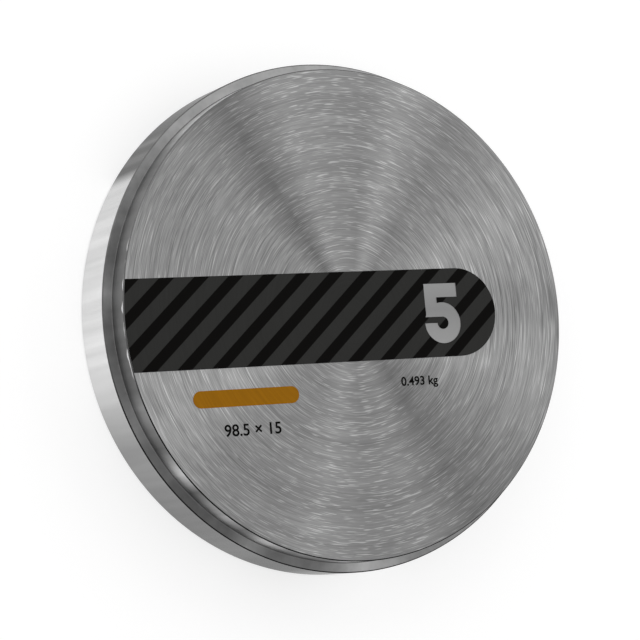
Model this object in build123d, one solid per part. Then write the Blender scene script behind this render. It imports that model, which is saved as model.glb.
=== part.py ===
from build123d import *
import math
import os

# A dental milling disc: a round blank of titanium alloy, turned in one piece, from which
# a milling machine cuts crowns, bars and abutments. The machine's holder grips the collar,
# its clamping ring bears on the shoulder, and the boss carries the print.
# The disc lies on its back face at z = 0, its axis is Z, and the printed face looks up.
# X runs along the printed band, from the rim where the band starts to its round end.

# Turned blank
collar_diameter = 98.5
collar_height = 10.0
shoulder_width = 2.0
boss_height = 5.0
edge_chamfer = 0.2
tool_nose_radius = 0.2

# Ink, drawn thicker than a real film so that each layer stays a solid of its own
ink_film = 0.04

# Dark grey band across the face
band_height = 17.25
band_drop = 0.72
band_reach = 32.25

# Near-black stripes on the band, measured square to their own direction
stripe_angle = 41.5
stripe_width = 2.02
stripe_pitch = 4.73
stripe_crossing = 2.25
smallest_patch_area = 0.5

# Bare figure in the band: a bold 5 made of a bar, a stem and a round bowl
figure_height = 11.7
figure_width = 8.0
figure_stroke = 2.7
figure_counter_radius = 1.2
figure_side_step = 0.35
figure_x = 20.1
figure_y = -0.85

# Amber bar below the band
amber_length = 22.0
amber_height = 3.2
amber_rim_gap = 12.25
amber_band_gap = 4.0

# Derived sizes
collar_radius = collar_diameter / 2
boss_radius = collar_radius - shoulder_width
face_radius = boss_radius - edge_chamfer
face_height = collar_height + boss_height
band_radius = band_height / 2
band_end_x = band_reach - band_radius
band_bottom = -band_drop - band_radius


def turned_blank():
    """Half the section, its edges broken and its inner corner rounded, turned round Z."""
    outline = Polyline(
        (0, 0),
        (collar_radius, 0),
        (collar_radius, collar_height),
        (boss_radius, collar_height),
        (boss_radius, face_height),
        (0, face_height),
        close=True,
    )
    section = make_face(outline)
    root = section.vertices().sort_by_distance((boss_radius, collar_height))[0]
    section = fillet(root, tool_nose_radius)
    edges = [
        section.vertices().sort_by_distance(corner)[0]
        for corner in (
            (collar_radius, 0),
            (collar_radius, collar_height),
            (boss_radius, face_height),
        )
    ]
    section = chamfer(edges, edge_chamfer)
    return revolve(Plane.XZ * section, Axis.Z)


def band_outline():
    """The band: open to the rim of the face on the left, a half circle on the right."""
    straight_length = collar_radius + band_end_x
    straight = Pos(band_end_x - straight_length / 2, -band_drop) * Rectangle(straight_length, band_height)
    round_end = Pos(band_end_x, -band_drop) * Circle(band_radius)
    return (straight + round_end) & Circle(face_radius)


def stripe_outlines(ground):
    """Slanted stripes, one pitch apart, cut to the ground they are printed on.

    A scrap that the round end leaves of a stripe is too small to print and is dropped.
    """
    step = stripe_pitch / math.sin(math.radians(stripe_angle))
    stripe_length = 2 * band_height / math.sin(math.radians(stripe_angle))
    slant_reach = band_height / math.tan(math.radians(stripe_angle))
    first = math.floor((-face_radius - slant_reach - stripe_crossing) / step)
    last = math.ceil((band_reach + slant_reach - stripe_crossing) / step)
    stripe = Rot(0, 0, stripe_angle) * Rectangle(stripe_length, stripe_width)
    stripes = Sketch() + [
        Pos(stripe_crossing + index * step, -band_drop) * stripe
        for index in range(first, last + 1)
    ]
    patches = (stripes & ground).faces()
    return Sketch() + [patch for patch in patches if patch.area > smallest_patch_area]


def figure_outline():
    """A bold 5 in its own box, whose lower left corner is the origin, set in its place."""
    bowl_radius = figure_width / 2
    stem_left = figure_side_step
    stem_bottom = bowl_radius + figure_counter_radius
    stem = Pos(stem_left, stem_bottom) * Rectangle(
        figure_stroke, figure_height - stem_bottom, align=Align.MIN
    )
    bar = Pos(stem_left, figure_height) * Rectangle(
        figure_width - 2 * figure_side_step, figure_stroke, align=(Align.MIN, Align.MAX)
    )
    bowl = Pos(bowl_radius, bowl_radius) * Circle(bowl_radius)
    counter = Pos(bowl_radius, bowl_radius) * Circle(figure_counter_radius)
    mouth = Pos(bowl_radius, bowl_radius) * Rectangle(
        figure_width, figure_counter_radius, align=(Align.MAX, Align.MIN)
    )
    figure = (stem + bar + bowl) - counter - mouth
    return Pos(figure_x - figure_width / 2, figure_y - figure_height / 2) * figure


def amber_outline():
    """A bar with round ends, set in from the rim on the left and below the band."""
    left = amber_rim_gap - face_radius
    top = band_bottom - amber_band_gap
    return Pos(left + amber_length / 2, top - amber_height / 2) * SlotOverall(amber_length, amber_height)


def ink(outline, layer):
    """One film of ink; layer 0 lies on the metal and layer 1 on the first film."""
    return Pos(0, 0, face_height + layer * ink_film) * extrude(outline, ink_film)


band = band_outline() - figure_outline()
stripes = stripe_outlines(band)

nodes = {
    "disc_blank": turned_blank(),
    "printed_band": ink(band, 0),
    "printed_stripes": ink(stripes, 1),
    "printed_bar": ink(amber_outline(), 0),
}

os.makedirs("parts", exist_ok=True)
for name, shape in nodes.items():
    export_step(shape, f"parts/{name}.step")
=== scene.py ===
# %% [markdown]
# A dental milling disc, dressed around its fixed frame. The disc is one piece of titanium
# alloy, turned on a lathe. Its printed face is brushed in circles, its rim is turned smooth,
# and a dark striped band is printed across the face.
#
# The script loads the frame first, because every piece takes its place and size from it.

import math

import bpy
import numpy as np
from mathutils import Matrix, Vector


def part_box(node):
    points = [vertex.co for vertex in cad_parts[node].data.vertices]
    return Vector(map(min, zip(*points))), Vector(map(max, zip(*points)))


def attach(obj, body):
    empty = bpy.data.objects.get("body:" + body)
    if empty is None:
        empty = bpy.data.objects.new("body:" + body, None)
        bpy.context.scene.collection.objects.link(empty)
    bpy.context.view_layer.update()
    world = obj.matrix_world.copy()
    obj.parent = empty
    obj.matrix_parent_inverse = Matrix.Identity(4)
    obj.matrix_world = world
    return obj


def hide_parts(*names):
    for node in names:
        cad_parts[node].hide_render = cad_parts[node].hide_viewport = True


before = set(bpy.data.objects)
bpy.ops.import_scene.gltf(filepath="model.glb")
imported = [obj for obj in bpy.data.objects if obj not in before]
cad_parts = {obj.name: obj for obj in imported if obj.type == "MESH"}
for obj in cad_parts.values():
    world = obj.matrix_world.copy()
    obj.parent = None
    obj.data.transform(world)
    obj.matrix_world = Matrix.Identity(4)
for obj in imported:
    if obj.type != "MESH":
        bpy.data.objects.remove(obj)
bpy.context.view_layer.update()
MM = 0.001


face_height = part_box("disc_blank")[1].z

# %% [markdown]
# The camera stands where the photo was taken from. A lens of about 141 mm on a 36 mm sensor
# is a short telephoto, half a metre away, which keeps the disc's ellipse gentle. The disc
# lies on the table here, so the camera looks down on it, and its own "up" is turned a little
# so that the band rises to the right.

# %% Camera
SENSOR_WIDTH = 36.0
FOCAL_LENGTH = 140.9
camera_place = Vector((-231.75, -43.53, 430.29)) * MM
camera_right = Vector((0.8796, -0.0912, 0.4669)).normalized()
camera_forward = Vector((0.4742, 0.0894, -0.8758)).normalized()
camera_up = camera_right.cross(camera_forward).normalized()

camera_data = bpy.data.cameras.new("camera")
camera_data.sensor_width = SENSOR_WIDTH
camera_data.lens = FOCAL_LENGTH
camera = bpy.data.objects.new("camera", camera_data)
turn = Matrix((camera_right, camera_up, -camera_forward)).transposed()
camera.matrix_world = Matrix.Translation(camera_place) @ turn.to_4x4()
bpy.context.scene.collection.objects.link(camera)
bpy.context.scene.camera = camera
face_centre = Vector((0, 0, face_height))
print("camera to face centre, mm:", round((camera_place - face_centre).length / MM, 1))

# %% [markdown]
# Every material is a small tree of nodes. Three helpers keep the trees short: one turns the
# hex colour that a designer would pick into the linear values that the renderer works with,
# one adds any node with its settings and its links in one call, and one starts a material.

# %% Helpers for materials
def linear(hex_colour):
    """An sRGB hex colour as linear RGBA, opaque, by the sRGB transfer curve."""
    channels = [int(hex_colour[i:i + 2], 16) / 255 for i in (1, 3, 5)]
    curve = [c / 12.92 if c <= 0.04045 else ((c + 0.055) / 1.055) ** 2.4 for c in channels]
    return (*curve, 1.0)


def add(tree, kind, settings=None, **inputs):
    """Adds a node. settings are its own properties. inputs are values or output sockets.

    An input's name is the socket's name with spaces as underscores, or _N for socket N.
    """
    node = tree.nodes.new(kind)
    for name, value in (settings or {}).items():
        setattr(node, name, value)
    for name, value in inputs.items():
        key = int(name[1:]) if name[0] == "_" else name.replace("_", " ")
        socket = node.inputs[key]
        if isinstance(value, bpy.types.NodeSocket):
            tree.links.new(value, socket)
        else:
            socket.default_value = value
    return node


def new_material(name):
    """An empty node material with its output node."""
    material = bpy.data.materials.new(name)
    material.use_nodes = True
    material.node_tree.nodes.clear()
    output = add(material.node_tree, "ShaderNodeOutputMaterial")
    return material, material.node_tree, output


# %% [markdown]
# A lathe leaves marks that run round the axis. On the flat face that means circles, and on
# a wall it means rings one above the other. One trick gives both: noise is looked up at
# (x, y, r - z), with each axis divided by the size of a mark along it. Along a circle only
# x and y change, so the mark is as long as they allow. Across it r or z changes, and those
# are divided by the mark's width, so the mark is thin.

# %% Marks of the lathe
NOISE_ROUGHNESS = 0.6


def object_axes(tree):
    """X, Y and Z of a surface point, as three sockets."""
    place = add(tree, "ShaderNodeTexCoord").outputs["Object"]
    return add(tree, "ShaderNodeSeparateXYZ", _0=place).outputs


def lathe_place(tree):
    """Two vectors of a surface point: (x, y, r - z), and (x, y, 0)."""
    axes = object_axes(tree)
    flat = add(tree, "ShaderNodeCombineXYZ", X=axes["X"], Y=axes["Y"]).outputs[0]
    radius = add(tree, "ShaderNodeVectorMath", {"operation": "LENGTH"}, _0=flat)
    outline = add(tree, "ShaderNodeMath", {"operation": "SUBTRACT"},
                  _0=radius.outputs["Value"], _1=axes["Z"])
    place = add(tree, "ShaderNodeCombineXYZ", X=axes["X"], Y=axes["Y"], Z=outline.outputs[0])
    return place.outputs[0], flat


def marks(tree, place, length, width, detail=2.0, shift=0.0):
    """Noise from 0 to 1 in marks of this length along the cut and this width across it.

    A different shift gives different marks of the same kind.
    """
    scaled = add(tree, "ShaderNodeMapping", {"vector_type": "POINT"}, Vector=place,
                 Location=(shift, shift, shift), Scale=(1 / length, 1 / length, 1 / width))
    noise = add(tree, "ShaderNodeTexNoise", Vector=scaled.outputs[0], Scale=1.0,
                Detail=detail, Roughness=NOISE_ROUGHNESS)
    return noise.outputs[0]


# %% [markdown]
# Noise gathers round one half, and little of it lies outside 0.3 to 0.7. To lighten and
# darken a tone evenly, that stretch is spread over the whole swing of the tone. To draw
# single marks on a plain ground, only the noise's peaks are kept, with a soft start.

# %% Noise into tones
NOISE_LOW, NOISE_HIGH = 0.3, 0.7


def swing(tree, noise, middle, reach):
    """NOISE_LOW..NOISE_HIGH becomes middle - reach..middle + reach, and stops there."""
    return add(tree, "ShaderNodeMapRange", {"clamp": True}, _0=noise, _1=NOISE_LOW,
               _2=NOISE_HIGH, _3=middle - reach, _4=middle + reach).outputs[0]


def peaks(tree, noise, start, full, height):
    """0 below start, height above full, and a straight rise between them."""
    return add(tree, "ShaderNodeMapRange", {"clamp": True}, _0=noise, _1=start, _2=full,
               _3=0.0, _4=height).outputs[0]


# %% [markdown]
# Metal whose marks all run one way draws a highlight out across them. The shader calls that
# anisotropic, and takes a tangent, the direction in which the highlight is drawn out.

# %% Direction of the marks
def across_the_cut(tree, flat_place):
    """A unit vector in the surface, square to the lathe's marks: (place x -Z) x normal."""
    along = add(tree, "ShaderNodeVectorMath", {"operation": "CROSS_PRODUCT"},
                _0=flat_place, _1=(0, 0, -1))
    normal = add(tree, "ShaderNodeNewGeometry").outputs["Normal"]
    across = add(tree, "ShaderNodeVectorMath", {"operation": "CROSS_PRODUCT"},
                 _0=along.outputs[0], _1=normal)
    unit = add(tree, "ShaderNodeVectorMath", {"operation": "NORMALIZE"}, _0=across.outputs[0])
    return unit.outputs[0]


# %% [markdown]
# Smooth metal mirrors the studio round it in light and dark stretches. Strong lamps and dark
# cards could make them, but such lamps burn out on the metal when the disc is seen from another
# side. So the stretches are painted reflections, light and dark tones in the metal's colour,
# which stay where they are in every view. They are listed by direction, in degrees round the axis
# from X, one entry for each place where the tone turns.

# %% Tones by direction
HALF_TURN = 0.5


def by_direction(tree, flat_place, tones):
    """The tone for the direction from the axis, blended evenly between the listed ones.

    The angle of the opposite point runs from -pi to pi. Divided by a full turn and moved up
    by half a turn, it gives 0 to 1 round the axis from X. A ramp starts with a stop at each
    end, so only the stops between them are new.
    """
    opposite = add(tree, "ShaderNodeVectorMath", {"operation": "SCALE"},
                   _0=flat_place, Scale=-1.0)
    axes = add(tree, "ShaderNodeSeparateXYZ", _0=opposite.outputs[0]).outputs
    angle = add(tree, "ShaderNodeMath", {"operation": "ARCTAN2"}, _0=axes["Y"], _1=axes["X"])
    share = add(tree, "ShaderNodeMath", {"operation": "MULTIPLY_ADD"},
                _0=angle.outputs[0], _1=1 / math.tau, _2=HALF_TURN)
    ramp = add(tree, "ShaderNodeValToRGB", _0=share.outputs[0])
    stops = ramp.color_ramp.elements
    for degrees, tone in tones.items():
        stop = stops.new(degrees / 360) if 0 < degrees < 360 else stops[0 if degrees == 0 else -1]
        stop.color = (tone, tone, tone, 1)
    return ramp.outputs["Color"]


# %% [markdown]
# Beside the band, painted glints lie along the top edge of the boss: small near-white spots of
# highlight in the metal's colour, where the edge catches the light. They are small, and are drawn
# as a bright tone, not cut into the edge. Noise gives their outlines, and a bias that grows
# towards the edge makes them hug it.

# %% Painted glints at the edge
GLINT_ZONE = {0: 0.0, 160: 0.0, 164: 1.0, 190: 1.0, 194: 0.0, 360: 0.0}
GLINT_DEPTH = 2.0 * MM
GLINT_MARKS = {"length": 4.5 * MM, "width": 12 * MM, "detail": 1.5, "shift": 2.6}
GLINT_BIAS_BELOW, GLINT_BIAS_AT_EDGE = -0.20, 0.16
GLINT_START, GLINT_FULL = 0.57, 0.60
GLINT_COLOUR = "#f0f0f0"


def edge_glints(tree, place, flat_place):
    """1 in a painted glint and 0 outside: the peaks of noise plus bias, inside the zone."""
    bias = add(tree, "ShaderNodeMapRange", {"clamp": True}, _0=object_axes(tree)["Z"],
               _1=face_height - GLINT_DEPTH, _2=face_height,
               _3=GLINT_BIAS_BELOW, _4=GLINT_BIAS_AT_EDGE)
    level = add(tree, "ShaderNodeMath", {"operation": "ADD"},
                _0=marks(tree, place, **GLINT_MARKS), _1=bias.outputs[0])
    shown = add(tree, "ShaderNodeMath", {"operation": "MULTIPLY"},
                _0=peaks(tree, level.outputs[0], GLINT_START, GLINT_FULL, 1.0),
                _1=by_direction(tree, flat_place, GLINT_ZONE))
    return shown.outputs[0]


# %% [markdown]
# The rim is titanium alloy, turned and not brushed. The collar wall is finished by a sharp
# tool, because the holder grips it, and it mirrors like dull chrome. The boss wall, the
# shoulder and the inner corner are cut coarser and look satin. Faint streaks along the axis,
# a few millimetres wide, break up the tone of all of them.

# %% Turned titanium of the rim
STREAK_MARKS = {"length": 3.0 * MM, "width": 60 * MM, "shift": 5.3}
GLANCE_TINT = "#c8c8c8"


def turned_metal(name, tones, streak, roughness, anisotropic, with_glints=False):
    """Turned metal with painted reflections as tones by direction, and streaks along the axis of
    this strength.

    GLANCE_TINT keeps it from turning white where it is seen at a flat angle.
    """
    material, tree, output = new_material(name)
    place, flat = lathe_place(tree)
    strength = swing(tree, marks(tree, place, **STREAK_MARKS), 1.0, streak)
    # painted reflections: the tones by direction, times the streaks
    colour = add(tree, "ShaderNodeVectorMath", {"operation": "SCALE"},
                 _0=by_direction(tree, flat, tones), Scale=strength).outputs[0]
    # near-white painted glints at the edge, over the painted reflections
    if with_glints:
        colour = add(tree, "ShaderNodeMix", {"data_type": "RGBA"},
                     Factor=edge_glints(tree, place, flat), _6=colour,
                     _7=linear(GLINT_COLOUR)).outputs[2]
    metal = add(tree, "ShaderNodeBsdfPrincipled", Metallic=1.0, Anisotropic=anisotropic,
                Base_Color=colour, Roughness=roughness,
                Specular_Tint=linear(GLANCE_TINT), Tangent=across_the_cut(tree, flat))
    tree.links.new(metal.outputs[0], output.inputs[0])
    return material


# %% [markdown]
# The tones of the rim are painted reflections. The collar wall is bright on the left. Above that
# it is dark, with two narrow light streaks, and below it is grey with one dark place. The boss
# wall has short painted glints at the lower left and bottom, and the shoulder has softer ones.
# The inner corner is darker than the walls with painted shade, and the broken edges with painted
# dark reflections, so they draw a fine line round them.

# %% Painted reflections of the rim
WALL_REFLECTION_TONES = {0: 0.5, 100: 0.4, 120: 0.1, 133: 0.1, 135: 0.3, 137: 0.1, 140: 0.3, 143: 0.1,
              147: 0.9, 190: 0.85, 205: 0.4, 230: 0.3, 240: 0.35, 255: 0.15, 265: 0.5,
              280: 1.0, 290: 0.5, 360: 0.5}
BOSS_REFLECTION_TONES = {0: 0.3, 115: 0.7, 130: 0.7, 140: 0.3, 195: 0.2, 200: 0.35, 210: 0.2, 217: 0.8,
              222: 0.2, 232: 0.6, 237: 0.2, 242: 0.8, 250: 0.35, 260: 0.35, 265: 0.9,
              275: 1.0, 290: 0.5, 360: 0.3}
SHOULDER_REFLECTION_TONES = {0: 0.4, 130: 0.45, 165: 0.25, 173: 0.45, 180: 0.25, 205: 0.4, 215: 0.2,
                  235: 0.2, 240: 0.4, 245: 0.25, 260: 0.25, 270: 0.55, 285: 0.3, 360: 0.4}
CORNER_SHADE_TONES = {0: 0.2, 120: 0.15, 240: 0.15, 310: 0.2, 360: 0.2}
EDGE_REFLECTION_TONES = {0: 0.02, 60: 0.1, 120: 0.15, 190: 0.15, 200: 0.02, 360: 0.02}


# %% [markdown]
# The face is titanium alloy, cut flat and then brushed while it turns. The metal is a neutral
# grey. Real hairlines are a few hundredths of a millimetre wide. They are drawn coarser here, one
# or two points of the picture wide, so that they show. To the left and right of the axis they are
# long arcs, light and dark. Above and below it they break into short bright dashes. The light and
# dark fans that run outwards are painted highlights, tones by direction, as the painted
# reflections on the rim.

# %% Layers of the face
FACE_TONE = 0.333
HAIRLINES = {"length": 10 * MM, "width": 0.18 * MM, "detail": 4.0}
HAIRLINE_REACH = 0.42 * FACE_TONE
RINGS = {"length": 60 * MM, "width": 1.6 * MM, "shift": 3.7}
RING_REACH = 0.10 * FACE_TONE
ARCS = {"length": 6 * MM, "width": 0.17 * MM, "detail": 0.0, "shift": 17.3}
ARC_START, ARC_FULL, ARC_LIFT = 0.62, 0.76, 0.65 * FACE_TONE
DASHES = {"length": 2.8 * MM, "width": 0.15 * MM, "detail": 0.0, "shift": 9.1}
DASH_START, DASH_FULL, DASH_LIFT = 0.62, 0.74, 0.85 * FACE_TONE
FADE_ABOVE_BELOW = 0.7
# Painted fan highlights: factors of the face's tone by direction.
FAN_HIGHLIGHT_TONES = {0: 1.0, 25: 1.3, 40: 1.0, 55: 0.8, 70: 1.1, 80: 0.85, 105: 1.1, 120: 0.65,
             135: 1.1, 165: 1.1, 205: 1.35, 220: 0.95, 240: 0.85, 255: 1.05, 270: 0.9,
             285: 1.0, 300: 0.7, 315: 0.9, 340: 1.35, 360: 1.0}


def face_tone(tree, place, flat_place, hairlines):
    """FACE_TONE plus four layers of marks, each times its share at that place.

    The share above and below the axis is the squared sine of the direction from X. Beside
    the axis it is 1 less FADE_ABOVE_BELOW of that.
    """
    direction = add(tree, "ShaderNodeVectorMath", {"operation": "NORMALIZE"}, _0=flat_place)
    sine = add(tree, "ShaderNodeSeparateXYZ", _0=direction.outputs[0]).outputs["Y"]
    above_below = add(tree, "ShaderNodeMath", {"operation": "MULTIPLY"},
                      _0=sine, _1=sine).outputs[0]
    beside = add(tree, "ShaderNodeMath", {"operation": "MULTIPLY_ADD"},
                 _0=above_below, _1=-FADE_ABOVE_BELOW, _2=1.0).outputs[0]
    rings = marks(tree, place, **RINGS)
    arcs = marks(tree, place, **ARCS)
    dashes = marks(tree, place, **DASHES)
    layers = (
        (swing(tree, hairlines, 0.0, HAIRLINE_REACH), beside),
        (swing(tree, rings, 0.0, RING_REACH), 1.0),
        (peaks(tree, arcs, ARC_START, ARC_FULL, ARC_LIFT), beside),
        (peaks(tree, dashes, DASH_START, DASH_FULL, DASH_LIFT), above_below),
    )
    tone = FACE_TONE
    for layer, share in layers:
        tone = add(tree, "ShaderNodeMath", {"operation": "MULTIPLY_ADD"},
                   _0=layer, _1=share, _2=tone).outputs[0]
    return tone


# %% [markdown]
# The figure in the band is bare metal too. The hairlines would fray its small shape, so the
# tone is even in a box round it. The band covers the rest of the box, and the back of the
# disc, which has the same finish, is kept out by its height.

# %% Even tone of the figure
FIGURE_PLACE = Vector((20.1, -0.85)) * MM
FIGURE_SIZE = Vector((9.0, 12.7)) * MM


def inside_figure_box(tree):
    """1 inside the box round the figure on the front and 0 outside: three tests multiplied.

    COMPARE gives 1 where its first two values differ by no more than the third.
    """
    axes = object_axes(tree)
    in_x = add(tree, "ShaderNodeMath", {"operation": "COMPARE"},
               _0=axes["X"], _1=FIGURE_PLACE.x, _2=FIGURE_SIZE.x / 2)
    in_y = add(tree, "ShaderNodeMath", {"operation": "COMPARE"},
               _0=axes["Y"], _1=FIGURE_PLACE.y, _2=FIGURE_SIZE.y / 2)
    in_front = add(tree, "ShaderNodeMath", {"operation": "GREATER_THAN"},
                   _0=axes["Z"], _1=face_height / 2)
    in_both = add(tree, "ShaderNodeMath", {"operation": "MULTIPLY"},
                  _0=in_x.outputs[0], _1=in_y.outputs[0])
    inside = add(tree, "ShaderNodeMath", {"operation": "MULTIPLY"},
                 _0=in_both.outputs[0], _1=in_front.outputs[0])
    return inside.outputs[0]


# %% [markdown]
# The face's shader brings these together. The tone, times the painted fan highlights, goes into
# the colour, and the hairlines also raise the surface by a few thousandths of a millimetre and
# make it a little glossier where they are light.

# %% Brushed titanium of the face
FACE_ROUGHNESS, ROUGHNESS_REACH = 0.36, 0.06
FACE_ANISOTROPIC = 0.9
HAIRLINE_DEPTH = 0.006 * MM
BUMP_STRENGTH = 0.35


def brushed_face():
    """Metal with hairlines, arcs and dashes round the axis and painted fan highlights, its real
    highlights drawn out across.
    """
    material, tree, output = new_material("brushed titanium face")
    place, flat = lathe_place(tree)
    hairlines = marks(tree, place, **HAIRLINES)
    tone = add(tree, "ShaderNodeMix", {"data_type": "FLOAT"}, Factor=inside_figure_box(tree),
               A=face_tone(tree, place, flat, hairlines), B=FACE_TONE).outputs[0]
    # the tone times the painted fan highlights by direction
    colour = add(tree, "ShaderNodeVectorMath", {"operation": "SCALE"},
                 _0=by_direction(tree, flat, FAN_HIGHLIGHT_TONES), Scale=tone)
    bump = add(tree, "ShaderNodeBump", Strength=BUMP_STRENGTH, Distance=HAIRLINE_DEPTH,
               Height=hairlines)
    metal = add(tree, "ShaderNodeBsdfPrincipled", Metallic=1.0, Anisotropic=FACE_ANISOTROPIC,
                Base_Color=colour.outputs[0],
                Roughness=swing(tree, hairlines, FACE_ROUGHNESS, -ROUGHNESS_REACH),
                Normal=bump.outputs[0], Tangent=across_the_cut(tree, flat))
    tree.links.new(metal.outputs[0], output.inputs[0])
    return material


# %% [markdown]
# The turned blank is drawn again as a fine surface, because the frame's own mesh is made
# for measuring and shows its flats in a mirror finish. It is a profile turned round Z, as
# on the lathe: the outline's points are worked out once, and each is carried round a circle.

# %% Outline of the turned blank
SHOULDER_WIDTH = 2.0 * MM
BOSS_HEIGHT = 5.0 * MM
EDGE = 0.2 * MM
NOSE_RADIUS = 0.2 * MM
CORNER_POINTS = 7
COLLAR_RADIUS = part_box("disc_blank")[1].x
BOSS_RADIUS = COLLAR_RADIUS - SHOULDER_WIDTH
COLLAR_HEIGHT = face_height - BOSS_HEIGHT


def arc(centre, radius, start, stop, count):
    """Points (r, z) on a circle: centre + radius * (cos, sin) of evenly spaced angles."""
    angle = np.radians(np.linspace(start, stop, count))
    return np.array(centre) + radius * np.column_stack((np.cos(angle), np.sin(angle)))


def blank_outline():
    """Half the section as (r, z) points from the back's centre to the face's centre.

    A point halfway in on the back and on the face keeps the triangles there short.
    """
    corner_centre = (BOSS_RADIUS + NOSE_RADIUS, COLLAR_HEIGHT + NOSE_RADIUS)
    return np.vstack((
        [(0, 0), (COLLAR_RADIUS / 2, 0), (COLLAR_RADIUS - EDGE, 0)],
        [(COLLAR_RADIUS, EDGE), (COLLAR_RADIUS, COLLAR_HEIGHT - EDGE)],
        [(COLLAR_RADIUS - EDGE, COLLAR_HEIGHT)],
        arc(corner_centre, NOSE_RADIUS, 270, 180, CORNER_POINTS),
        [(BOSS_RADIUS, face_height - EDGE), (BOSS_RADIUS - EDGE, face_height)],
        [(BOSS_RADIUS / 2, face_height), (0, face_height)],
    ))


# %% [markdown]
# Turning the profile gives a grid: one row for each outline point, one column for each
# angle. The two ends of the outline lie on the axis, so each of them is a single point with
# a fan of triangles. The rest are quads whose corners are found by counting in the grid.

# %% Turn the outline round Z
ROUND_STEPS = 720


def turned(name, outline, steps):
    """A closed surface: point (r, z) goes to (r cos a, r sin a, z) for each angle a."""
    angle = np.arange(steps) * 2 * np.pi / steps
    ring = outline[1:-1]
    grid = np.empty((len(ring), steps, 3))
    grid[..., 0] = ring[:, :1] * np.cos(angle)
    grid[..., 1] = ring[:, :1] * np.sin(angle)
    grid[..., 2] = ring[:, 1:]
    ends = [(0, 0, outline[0][1]), (0, 0, outline[-1][1])]
    points = np.vstack((grid.reshape(-1, 3), ends))
    here = np.arange(steps)
    after = (here + 1) % steps
    rows = np.arange(len(ring) - 1)[:, None] * steps
    quads = np.stack((rows + here, rows + after, rows + steps + after, rows + steps + here), -1)
    top = (len(ring) - 1) * steps
    bottom_fan = np.column_stack((after, here, np.full(steps, len(points) - 2)))
    top_fan = np.column_stack((top + here, top + after, np.full(steps, len(points) - 1)))
    faces = quads.reshape(-1, 4).tolist() + bottom_fan.tolist() + top_fan.tolist()
    mesh = bpy.data.meshes.new(name)
    mesh.from_pydata(points.tolist(), [], faces)
    mesh.update()
    piece = bpy.data.objects.new(name, mesh)
    bpy.context.scene.collection.objects.link(piece)
    return piece


profile = blank_outline()
blank = turned("turned_blank", profile, ROUND_STEPS)
print("turned blank:", len(blank.data.polygons), "faces, radius",
      round(profile[:, 0].max() / MM, 3), "mm")

# %% [markdown]
# Each part of the blank has its own finish, from the mirror-like collar wall to the satin
# shoulder. The back gets the brushed finish of the face.

# %% Finishes of the blank
SATIN = {"streak": 0.12, "roughness": 0.45, "anisotropic": 0.0}
FINISHES = {
    "face": brushed_face(),
    "wall": turned_metal("finish-turned titanium collar wall", WALL_REFLECTION_TONES,
                         streak=0.09, roughness=0.22, anisotropic=0.6),
    "boss": turned_metal("coarse-turned titanium boss wall", BOSS_REFLECTION_TONES, with_glints=True, **SATIN),
    "shoulder": turned_metal("coarse-turned titanium shoulder", SHOULDER_REFLECTION_TONES, **SATIN),
    "corner": turned_metal("coarse-turned titanium corner", CORNER_SHADE_TONES, **SATIN),
    "edge": turned_metal("broken titanium edge", EDGE_REFLECTION_TONES,
                         streak=0.12, roughness=0.35, anisotropic=0.0),
}
for finish in FINISHES.values():
    blank.data.materials.append(finish)
print("finishes:", list(FINISHES))

# %% [markdown]
# A polygon's finish follows from where it lies and how it slopes. Level polygons are the
# face, the back or the shoulder, and upright ones are a wall. What is neither lies in the
# inner corner or on a broken edge.

# %% Give each polygon its finish
SHARP_ANGLE = math.radians(20)
LEVEL_SLOPE, UPRIGHT_SLOPE = 0.99, 0.01


def polygon_values(mesh, name):
    """One vector of each polygon, as rows of a grid."""
    values = np.empty(len(mesh.polygons) * 3)
    mesh.polygons.foreach_get(name, values)
    return values.reshape(-1, 3)


centres = polygon_values(blank.data, "center")
slope = np.abs(polygon_values(blank.data, "normal")[:, 2])
height = centres[:, 2]
radius = np.hypot(centres[:, 0], centres[:, 1])
level = slope > LEVEL_SLOPE
upright = slope < UPRIGHT_SLOPE
on_shoulder = level & (np.abs(height - COLLAR_HEIGHT) < EDGE)
on_boss = upright & (radius < BOSS_RADIUS + NOSE_RADIUS)
in_corner = (height > COLLAR_HEIGHT) & (height < COLLAR_HEIGHT + NOSE_RADIUS)
order = list(FINISHES)
index = np.select([on_shoulder, on_boss, level, upright, in_corner],
                  [order.index(name) for name in ("shoulder", "boss", "face", "wall", "corner")],
                  order.index("edge"))
blank.data.polygons.foreach_set("material_index", index.astype(np.int32))
blank.data.polygons.foreach_set("use_smooth", np.ones(len(index), bool))
blank.data.set_sharp_from_angle(angle=SHARP_ANGLE)
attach(blank, "root")
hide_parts("disc_blank")
print("polygons of each finish:", dict(zip(order, np.bincount(index).tolist())))

# %% [markdown]
# The print is a thin, matt ink. The metal's hairlines show through it as a faint grain, so
# each ink has the same kind of marks as the face, much weaker.

# %% Inks
GRAIN = {"length": 9 * MM, "width": 0.3 * MM}
FAINT_GRAIN, CLEAR_GRAIN = 0.05, 0.10
INK_ROUGHNESS = 0.6
INK_GLOSS = 0.05


def ink(name, colour, grain):
    """Matt ink of one colour, a little lighter and darker along the hairlines under it."""
    material, tree, output = new_material(name)
    place, _ = lathe_place(tree)
    strength = swing(tree, marks(tree, place, **GRAIN), 1.0, grain)
    shade = add(tree, "ShaderNodeVectorMath", {"operation": "SCALE"},
                _0=linear(colour)[:3], Scale=strength)
    surface = add(tree, "ShaderNodeBsdfPrincipled", Metallic=0.0, Roughness=INK_ROUGHNESS,
                  Specular_IOR_Level=INK_GLOSS, Base_Color=shade.outputs[0])
    tree.links.new(surface.outputs[0], output.inputs[0])
    return material


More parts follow.
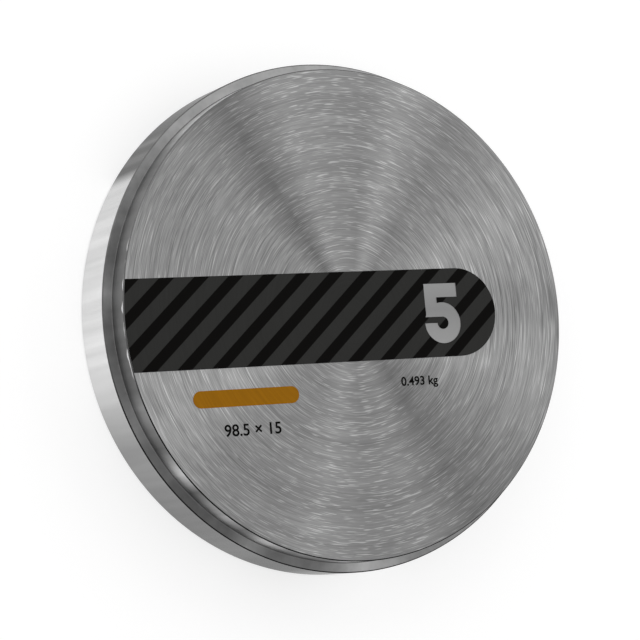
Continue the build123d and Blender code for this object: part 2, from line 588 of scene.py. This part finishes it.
INKS = {
    "printed_band": ink("dark grey screen ink", "#2f2f2e", FAINT_GRAIN),
    "printed_stripes": ink("near-black screen ink", "#070605", FAINT_GRAIN),
    "printed_bar": ink("amber screen ink", "#93620d", CLEAR_GRAIN),
}
for node, material in INKS.items():
    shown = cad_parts[node]
    shown.data.materials.clear()
    shown.data.materials.append(material)
print("inked nodes:", sorted(INKS))

# %% [markdown]
# Two small lines of plain numbers stand below the band, where such discs carry their data:
# the disc's size in millimetres and its weight. Each is a text drawn as a flat surface, a
# few hundredths of a millimetre above the metal, as thin as print looks.

# %% Plain numbers
MARKING_LIFT = 0.03 * MM
MARKING_BOLDNESS = 0.05 * MM
MARKINGS = {
    "size_marking": ("98.5 × 15", 3.1 * MM, (-29.0, -22.0)),
    "weight_marking": ("0.493 kg", 2.4 * MM, (9.5, -14.5)),
}
marking_ink = ink("black screen ink", "#0c0b0a", FAINT_GRAIN)


def marking(name, words, size, place):
    """Flat ink in the shape of the words, which start at place, in mm."""
    curve = bpy.data.curves.new(name, "FONT")
    curve.body = words
    curve.size = size
    curve.offset = MARKING_BOLDNESS
    drawn = bpy.data.objects.new(name + "_curve", curve)
    bpy.context.scene.collection.objects.link(drawn)
    shapes = bpy.context.evaluated_depsgraph_get()
    mesh = bpy.data.meshes.new_from_object(drawn.evaluated_get(shapes))
    bpy.data.objects.remove(drawn)
    bpy.data.curves.remove(curve)
    points = np.empty(len(mesh.vertices) * 3)
    mesh.vertices.foreach_get("co", points)
    points = points.reshape(-1, 3) + (place[0] * MM, place[1] * MM, face_height + MARKING_LIFT)
    mesh.vertices.foreach_set("co", points.ravel())
    mesh.materials.clear()
    mesh.materials.append(marking_ink)
    piece = bpy.data.objects.new(name, mesh)
    bpy.context.scene.collection.objects.link(piece)
    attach(piece, "root")
    return np.ptp(points, axis=0) / MM


for name, (words, size, place) in MARKINGS.items():
    print(name, "width and height, mm:", np.round(marking(name, words, size, place)[:2], 2))

# %% [markdown]
# The disc lies on a light table, a large sheet of milky glass lit from below. That
# makes the background white and keeps the disc's shadow soft. The world gives an even grey
# light from all sides, about a third of the light in the studio.

# %% Table and world
TABLE_SIZE = 12.0
TABLE_SHADE = 0.44
TABLE_GLOW = 0.64
WORLD_LEVEL = 0.37
WHITE = (1, 1, 1, 1)

bpy.ops.mesh.primitive_plane_add(size=TABLE_SIZE)
table = bpy.context.object
table.name = "table"
table_material, tree, output = new_material("white light table")
sheet = add(tree, "ShaderNodeBsdfDiffuse", Color=(TABLE_SHADE, TABLE_SHADE, TABLE_SHADE, 1))
glow = add(tree, "ShaderNodeEmission", Color=WHITE, Strength=TABLE_GLOW)
surface = add(tree, "ShaderNodeAddShader", _0=sheet.outputs[0], _1=glow.outputs[0])
tree.links.new(surface.outputs[0], output.inputs[0])
table.data.materials.append(table_material)

world = bpy.data.worlds.new("studio")
world.use_nodes = True
bpy.context.scene.world = world
background = world.node_tree.nodes["Background"]
background.inputs["Color"].default_value = WHITE
background.inputs["Strength"].default_value = WORLD_LEVEL
print("light table:", TABLE_SIZE, "m across")

# %% [markdown]
# Brushed circles show each lamp as a pair of fans through the centre, which point about
# halfway between the lamp and the camera. A small, strong lamp would burn out on the metal
# when the disc is seen from the other side. So the lamps are broad and weak, and overlap
# into an even tent of light: a low row on the far side, three at middle height, and three
# high ones, two of them near the camera. LOW, MIDDLE and HIGH are degrees above the table,
# and each lamp stands at its number of degrees round the axis from X. Its level is the share
# of plain light that it adds to the table. With the world's share the levels add up to about
# one, at which a colour shows about as it is written.

# %% Lamps
LAMP_DISTANCE = 1.2
LAMP_SPREAD = 48
LOW, MIDDLE, HIGH = 30, 45, 62
LAMP_LEVELS = {
    LOW: {0: 0.05, 30: 0.06, 60: 0.07, 90: 0.06, 120: 0.07, 150: 0.06},
    MIDDLE: {270: 0.05, 300: 0.03, 330: 0.02},
    HIGH: {60: 0.02, 190: 0.10, 240: 0.05},
}


def lamp(azimuth, elevation, level):
    """A square soft lamp that faces the disc's centre from this direction, in degrees.

    Its side spans LAMP_SPREAD degrees as seen from the disc. A lamp of power P at distance d
    adds P * sin(elevation) / (pi * d) ** 2 to the table, so P follows from the level.
    """
    data = bpy.data.lights.new(f"lamp_{azimuth}_{elevation}", "AREA")
    data.shape = "SQUARE"
    data.size = 2 * LAMP_DISTANCE * math.tan(math.radians(LAMP_SPREAD / 2))
    height = math.sin(math.radians(elevation))
    flat = math.cos(math.radians(elevation))
    data.energy = level * (math.pi * LAMP_DISTANCE) ** 2 / height
    direction = Vector((flat * math.cos(math.radians(azimuth)),
                        flat * math.sin(math.radians(azimuth)), height))
    item = bpy.data.objects.new(data.name, data)
    item.location = direction * LAMP_DISTANCE
    item.rotation_euler = direction.to_track_quat("Z", "Y").to_euler()
    bpy.context.scene.collection.objects.link(item)


for elevation, row in LAMP_LEVELS.items():
    for azimuth, level in row.items():
        lamp(azimuth, elevation, level)
lamp_total = sum(sum(row.values()) for row in LAMP_LEVELS.values())
print("levels of the lamps:", round(lamp_total, 2), "with the world:",
      round(lamp_total + WORLD_LEVEL, 2))

# %% [markdown]
# The Standard view transform shows each colour as it is written, with no film-like curve.

# %% Colour management
bpy.context.scene.view_settings.view_transform = "Standard"
print("view transform:", bpy.context.scene.view_settings.view_transform)
